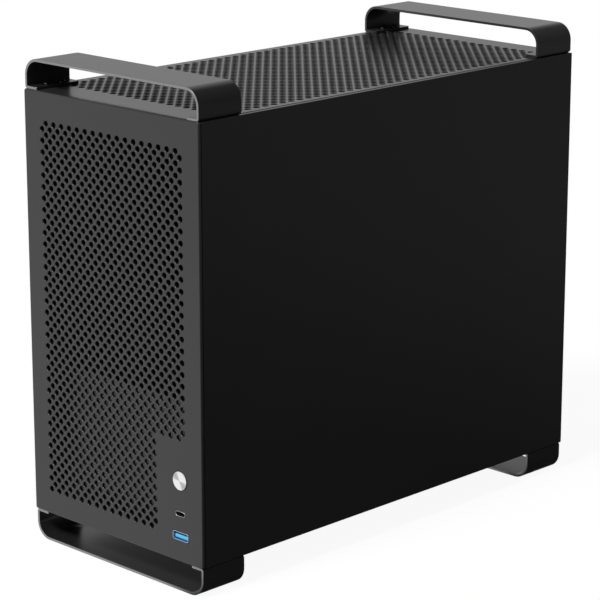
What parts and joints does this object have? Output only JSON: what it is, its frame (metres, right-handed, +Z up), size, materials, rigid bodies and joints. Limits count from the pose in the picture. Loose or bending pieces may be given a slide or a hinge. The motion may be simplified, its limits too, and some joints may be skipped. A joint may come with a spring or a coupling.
{
  "type": "computer case",
  "caption": "Small upright computer case: perforated sheet-metal body with bent flat-bar handles on top and matching feet, pull-off side panels and a front power button.",
  "frame": {"origin": "on the floor under the middle of the case's overall length and width", "axes": "+Z up, the front faces -Y, +X to the right seen from the front"},
  "size_m": [0.172, 0.3856, 0.342],
  "materials": {
    "charcoal_powder_coat": "fine-textured matt powder coat",
    "black_powder_coat": "fine-textured matt powder coat",
    "grey_steel": "plain zinc-plated sheet",
    "black_steel": "black oxide",
    "zinc_plated_steel": "zinc plated",
    "rivet_aluminium": "plain",
    "natural_nylon": "satin",
    "button_aluminium": "turned face, bright anodised",
    "bright_steel": "nickel plated",
    "black_plastic": "satin",
    "blue_plastic": "satin",
    "circuit_board": "solder resist",
    "brass": "plain"
  },
  "bodies": {
    "chassis": {"front_panel": "charcoal_powder_coat", "top_panel": "charcoal_powder_coat", "bottom_panel": "charcoal_powder_coat", "rear_panel": "black_powder_coat", "front_handle": "charcoal_powder_coat", "rear_handle": "charcoal_powder_coat", "front_foot": "charcoal_powder_coat", "rear_foot": "charcoal_powder_coat", "handle_screws": "black_steel", "foot_screws": "black_steel", "rail_nuts": "zinc_plated_steel", "front_frame": "black_powder_coat", "top_rail_left": "black_powder_coat", "top_rail_right": "black_powder_coat", "bottom_rail_left": "black_powder_coat", "bottom_rail_right": "black_powder_coat", "front_post_left": "black_powder_coat", "front_post_right": "black_powder_coat", "rear_post_left": "black_powder_coat", "rear_post_right": "black_powder_coat", "rear_rivets": "rivet_aluminium", "front_panel_studs": "zinc_plated_steel", "front_panel_nuts": "zinc_plated_steel", "left_panel_clips": "natural_nylon", "right_panel_clips": "natural_nylon", "power_switch": "zinc_plated_steel", "usb_c_shell": "bright_steel", "usb_c_tongue": "black_plastic", "usb_a_shell": "bright_steel", "usb_a_tongue": "blue_plastic", "front_io_board": "circuit_board", "front_io_spacers": "brass", "front_io_screws": "zinc_plated_steel", "drive_plate": "grey_steel", "power_supply_shelf": "black_powder_coat", "motherboard_tray": "black_powder_coat", "standoffs": "brass", "slot_cover_1": "black_powder_coat", "slot_cover_2": "black_powder_coat", "slot_cover_3": "black_powder_coat", "slot_cover_4": "black_powder_coat", "slot_screws": "zinc_plated_steel", "inlet_housing": "black_plastic", "inlet_pins": "brass"},
    "left_panel": {"left_side_panel": "black_powder_coat", "left_panel_studs": "zinc_plated_steel"},
    "right_panel": {"right_side_panel": "black_powder_coat", "right_panel_studs": "zinc_plated_steel"},
    "button": {"power_button": "button_aluminium", "switch_plunger": "black_plastic"}
  },
  "joints": [
    {"name": "left_panel_off", "type": "slide", "parent": "chassis", "child": "left_panel", "axis": [-1, 0, 0], "range_m": [0, 0.12]},
    {"name": "right_panel_off", "type": "slide", "parent": "chassis", "child": "right_panel", "axis": [1, 0, 0], "range_m": [0, 0.12]},
    {"name": "power_button_press", "type": "slide", "parent": "chassis", "child": "button", "axis": [0, 1, 0], "range_m": [0, 0.001], "stiffness_N_per_m": 1600}
  ]
}
